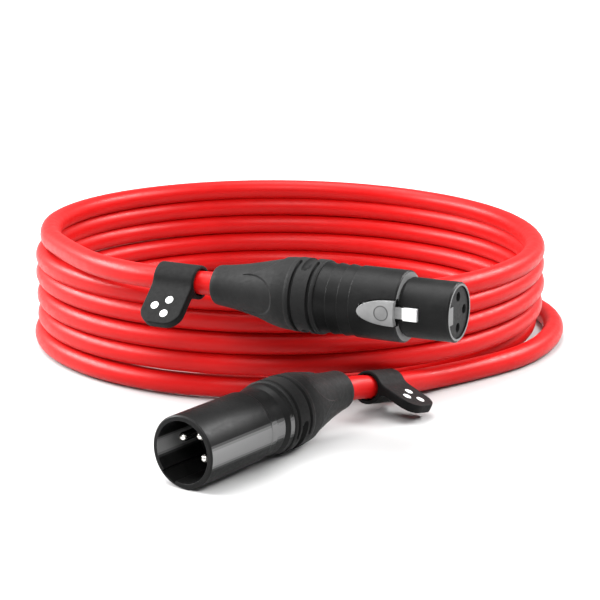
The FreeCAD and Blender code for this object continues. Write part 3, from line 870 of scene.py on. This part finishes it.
@dataclass
class Tag:
    """Moulded loop round the cable with a flat rounded tongue and three printed dots."""

    side: Side
    bend: int
    drop_deg: float
    width: float = 12.7
    bore: float = 3.62
    ring: float = 4.7
    reach: float = 16.0
    corner: float = 4.5
    low: float = 0.8
    high: float = 3.3
    fillet_above: float = 5.0
    fillet_below: float = 2.0
    voxel: float = 0.22
    dot_radius: float = 1.15
    dot_circle: float = 2.5
    dot_middle: float = 10.6
    dot_depth: float = 0.16
    dot_sink: float = 0.04

    def matrix(self, route: Sequence[Point]) -> Matrix:
        """Return the tag's frame: Z along the cable, X along the tongue.

        Args:
            route: Points of the lead that carries it.
        """
        before, corner, after = (Vector(p) for p in route[self.bend - 1:self.bend + 2])
        back, ahead = before - corner, after - corner
        reach = 0.45 * min(back.length, ahead.length)
        half_turn = (math.pi - back.angle(ahead)) / 2
        along = (after - before).normalized()
        inward = (back.normalized() + ahead.normalized()).normalized()
        point = corner + inward * (reach * math.tan(half_turn / 2))
        out = Vector((along.y, -along.x, 0)).normalized()
        if out.dot(corner) < 0:
            out = -out
        up = along.cross(out)
        if up.z < 0:
            up = -up
        drop = math.radians(self.drop_deg)
        tongue = out * math.cos(drop) + up * math.sin(drop)
        normal = up * math.cos(drop) - out * math.sin(drop)
        return frame_matrix(at_table(point), tongue, tongue.cross(normal))

    def loop(self) -> bpy.types.Object:
        """Make the loop as a short thick-walled tube."""
        half = self.width / 2
        wall = [(self.bore, -half), (self.ring, -half), (self.ring, half), (self.bore, half)]
        return Bench.lathe("tag_loop", wall, 96)

    def web(self) -> list[tuple[float, float]]:
        """Return the tongue's section with the two curves that run it into the loop."""
        inner = (self.bore + self.ring) / 2
        section = [(inner * math.cos(math.radians(a)), inner * math.sin(math.radians(a)))
                   for a in (12, 30, 48, 66, 84)]
        for radius, face, turn in ((self.fillet_above, self.high, 1.0),
                                   (self.fillet_below, self.low, -1.0)):
            off = face + turn * radius
            across = math.sqrt((self.ring + radius) ** 2 - off ** 2)
            start = math.atan2(-off, -across)
            end = -math.pi / 2 * turn
            sweep = (end - start + math.pi) % (2 * math.pi) - math.pi
            angles = [start + sweep * k / 10 for k in range(11)]
            arc = [(across + radius * math.cos(a), off + radius * math.sin(a)) for a in angles]
            tip = (self.reach, face)
            section += [*arc, tip] if turn > 0 else [tip, *arc[::-1]]
        return section

    def tongue(self) -> bpy.types.Object:
        """Make the tongue as its section drawn out across, with two rounded corners."""
        section = self.web()
        Bench.clear()
        bpy.ops.mesh.primitive_circle_add(vertices=len(section), radius=0.01,
                                          fill_type="NOTHING")
        piece = bpy.context.object
        for vertex, (across, high) in zip(piece.data.vertices, section):
            vertex.co = Vector((across, high, -self.width / 2)) * MM
        bpy.ops.object.mode_set(mode="EDIT")
        bpy.ops.mesh.select_all(action="SELECT")
        bpy.ops.mesh.edge_face_add()
        bpy.ops.mesh.extrude_region_move(TRANSFORM_OT_translate={"value": (0, 0, self.width * MM)})
        bpy.ops.mesh.select_all(action="SELECT")
        bpy.ops.mesh.normals_make_consistent(inside=False)
        bpy.ops.mesh.select_all(action="DESELECT")
        mesh = bmesh.from_edit_mesh(piece.data)
        for edge in list(mesh.edges):
            first, second = (v.co for v in edge.verts)
            at_tip = min(first.x, second.x) > (self.reach - 0.1) * MM
            if at_tip and abs(first.y - second.y) > 0.5 * MM:
                edge.select = True
        bmesh.update_edit_mesh(piece.data)
        bpy.ops.mesh.bevel(offset=self.corner * MM, segments=14, affect="EDGES")
        bpy.ops.object.mode_set(mode="OBJECT")
        return piece

    def build(self, paints: Paints, route: Sequence[Point]) -> list[bpy.types.Object]:
        """Make the tag and its print, and put both in place.

        Args:
            paints: The finishes.
            route: Points of the lead that carries the tag.

        Returns:
            The tag and its dots.
        """
        name = self.side.value
        loop = Bench.join([self.loop(), self.tongue()], f"{name}_tag_moulding")
        Bench.apply(loop, "REMESH", mode="VOXEL", voxel_size=self.voxel * MM)
        Bench.apply(loop, "SMOOTH", factor=0.5, iterations=7)
        place = self.matrix(route)
        body = f"{name}_tag_body"
        Bench.finish(loop, place, paints.tag, body, "tag_rubber")
        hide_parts(f"{name}_tag")
        return [loop, self.print_dots(name, place, body, paints)]

    def print_dots(self, name: str, place: Matrix, body: str, paints: Paints) -> bpy.types.Object:
        """Make three printed dots on the tongue's upper face."""
        dots = []
        for degrees in (90.0, 210.0, 330.0):
            angle = math.radians(degrees)
            Bench.clear()
            bpy.ops.mesh.primitive_cylinder_add(vertices=40, radius=self.dot_radius * MM,
                                                depth=self.dot_depth * MM)
            dot = bpy.context.object
            turn = Matrix.Rotation(math.radians(90), 4, "X")
            spot = Vector((self.dot_middle + self.dot_circle * math.cos(angle),
                           self.high - self.dot_sink, self.dot_circle * math.sin(angle))) * MM
            dot.data.transform(Matrix.Translation(spot) @ turn)
            dot.matrix_world = Matrix.Identity(4)
            dots.append(dot)
        print_piece = Bench.join(dots, f"{name}_tag_dots")
        Bench.apply(print_piece, "BEVEL", width=self.dot_sink * MM, segments=2,
                    limit_method="ANGLE")
        return Bench.finish(print_piece, place, paints.ink, body, "tag_rubber")


# ------------------------------------------------------------------ connectors


@dataclass
class Connectors:
    """Finishes of the rigid parts that the CAD model already shapes."""

    paints: Paints

    def dress(self) -> None:
        """Give every rigid CAD part its finish."""
        finishes = {
            "shell": self.paints.shell, "insert": self.paints.insert,
            "conductors": self.paints.core, "cable_end": self.paints.jacket,
            "chuck": self.paints.chuck, "bushing": self.paints.bushing,
            "boot": self.paints.boot, "tag": self.paints.tag, "latch": self.paints.latch,
            "latch_pin": self.paints.spring, "latch_spring": self.paints.spring,
        }
        for name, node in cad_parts.items():
            part = name.split("_", 1)[1]
            material = finishes.get(part, self.paints.jacket)
            if part.startswith(("contact", "pin")):
                material = self.paints.contact
            if name == "male_insert":
                material = self.paints.dark_insert
            paint(node, material)
        LOG.info("dressed %d parts", len(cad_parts))


# ------------------------------------------------------------------ stage


@dataclass(frozen=True)
class Lamp:
    """A soft rectangular lamp: places and size in metres, power in watts."""

    name: str
    place: Point
    aim: Point
    size: tuple[float, float]
    power: float


@dataclass
class Studio:
    """Table, soft lights and camera."""

    paints: Paints
    table_size: float = 8.0
    eye: Point = (0.0, -636.458, 165.730)
    look: Point = (0.00477, 0.97182, -0.23568)
    right: Point = (0.99999, -0.00465, 0.00108)
    lens: float = 123.28
    world_strength: float = 0.42
    sun_power: float = 4.3
    sun_width_deg: float = 50
    sun_way: Point = (0.22, -0.12, -1.0)
    lamps: tuple[Lamp, ...] = (
        Lamp("lamp_left", (-0.95, 0.22, 0.55), (-0.02, -0.04, 0.02), (0.9, 0.26), 26.0),
        Lamp("lamp_right", (0.98, 0.30, 0.76), (0.02, -0.12, 0.02), (0.9, 0.20), 24.0),
        Lamp("lamp_front", (0.0, -1.1, 1.0), (0.0, -0.05, 0.02), (0.9, 0.5), 17.0))

    def table(self) -> None:
        """Lay the table top under the coil."""
        Bench.clear()
        bpy.ops.mesh.primitive_grid_add(x_subdivisions=4, y_subdivisions=4, size=self.table_size,
                                        location=(0, 0, 0))
        top = bpy.context.object
        top.name = "table_top"
        paint(top, self.paints.table)

    def hang(self, lamp: Lamp) -> None:
        """Hang a soft rectangular lamp."""
        data = bpy.data.lights.new(lamp.name, "AREA")
        data.shape = "RECTANGLE"
        data.size, data.size_y = lamp.size
        data.energy = lamp.power
        hung = bpy.data.objects.new(lamp.name, data)
        bpy.context.collection.objects.link(hung)
        place = Vector(lamp.place)
        hung.location = place
        hung.rotation_euler = (Vector(lamp.aim) - place).to_track_quat("-Z", "Y").to_euler()

    def lights(self) -> None:
        """Light the scene from all round, brightest from above."""
        world = bpy.data.worlds.new("studio_white")
        world.use_nodes = True
        background = world.node_tree.nodes["Background"]
        background.inputs["Color"].default_value = (1, 1, 1, 1)
        background.inputs["Strength"].default_value = self.world_strength
        bpy.context.scene.world = world
        sun = bpy.data.lights.new("sun_soft", "SUN")
        sun.energy = self.sun_power
        sun.angle = math.radians(self.sun_width_deg)
        lamp = bpy.data.objects.new("sun_soft", sun)
        bpy.context.collection.objects.link(lamp)
        lamp.rotation_euler = Vector(self.sun_way).to_track_quat("-Z", "Y").to_euler()
        for lamp in self.lamps:
            self.hang(lamp)

    def camera(self) -> None:
        """Set the camera on the coil."""
        data = bpy.data.cameras.new("camera")
        data.lens = self.lens
        data.sensor_width = 36.0
        data.clip_start, data.clip_end = 0.01, 30.0
        camera = bpy.data.objects.new("camera", data)
        bpy.context.collection.objects.link(camera)
        look, right = Vector(self.look).normalized(), Vector(self.right).normalized()
        camera.matrix_world = frame_matrix(at_table(self.eye), right, -look)
        bpy.context.scene.camera = camera

    def build(self) -> None:
        """Make the whole stage."""
        self.camera()
        self.table()
        self.lights()
        bpy.context.scene.view_settings.view_transform = "Standard"
        bpy.context.scene.view_settings.look = "None"


def write_sizes() -> None:
    bpy.context.view_layer.update()


def main() -> None:
    """Build every piece in order."""
    logging.basicConfig(level=logging.INFO, format="%(name)s: %(message)s")
    Bench.clear()
    paints = Paints()
    Studio(paints).build()
    cable = Cable()
    cord = cable.build(paints)
    Connectors(paints).dress()
    for side in Side:
        Boot(side).build(paints)
    female_tag = Tag(Side.FEMALE, 1, -45.0).build(paints, cable.female_lead)
    male_tag = Tag(Side.MALE, 2, -21.0).build(paints, cable.male_lead)
    cable.declare(cord)
    write_sizes()


if __name__ == "__main__":
    main()
